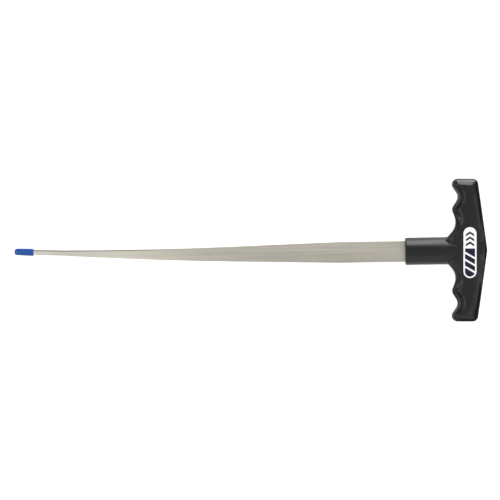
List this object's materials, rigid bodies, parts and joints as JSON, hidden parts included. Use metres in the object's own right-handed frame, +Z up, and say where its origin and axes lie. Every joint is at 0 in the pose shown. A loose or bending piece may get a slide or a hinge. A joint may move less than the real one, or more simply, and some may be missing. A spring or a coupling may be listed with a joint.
{
  "type": "tyre plug insertion tool",
  "caption": "T-handled insertion tool: long flat steel blade tapering to a slim tip under a soft pull-off cap, moulded into a plastic T-grip with finger grooves.",
  "frame": {"origin": "on the axis of the handle's round neck, where the neck's cylindrical wall starts, 0.8 mm behind the neck's front face", "axes": "+X from the blade's tip towards the back of the handle, along the neck; +Y along the crossbar; +Z up, square to the blade's flat, with the tool lying flat"},
  "size_m": [0.3309, 0.1001, 0.0202],
  "materials": {
    "blade_steel": "bright rolled strip steel with lengthwise grinding lines and broken edges",
    "handle_plastic": "black moulded plastic with a fine satin texture",
    "cap_vinyl": "glossy blue dipped soft vinyl",
    "label_film": "white self-adhesive film with a clear gloss face",
    "label_ink": "dark navy printing ink"
  },
  "bodies": {
    "tool": {"blade": "blade_steel", "handle": "handle_plastic", "label": "label_film", "label_print": "label_ink"},
    "cap": {"tip_cap": "cap_vinyl"}
  },
  "joints": [
    {"name": "cap_pull", "type": "slide", "parent": "tool", "child": "cap", "axis": [-0.9991, 0.0425, 0], "range_m": [0, 0.025]}
  ]
}
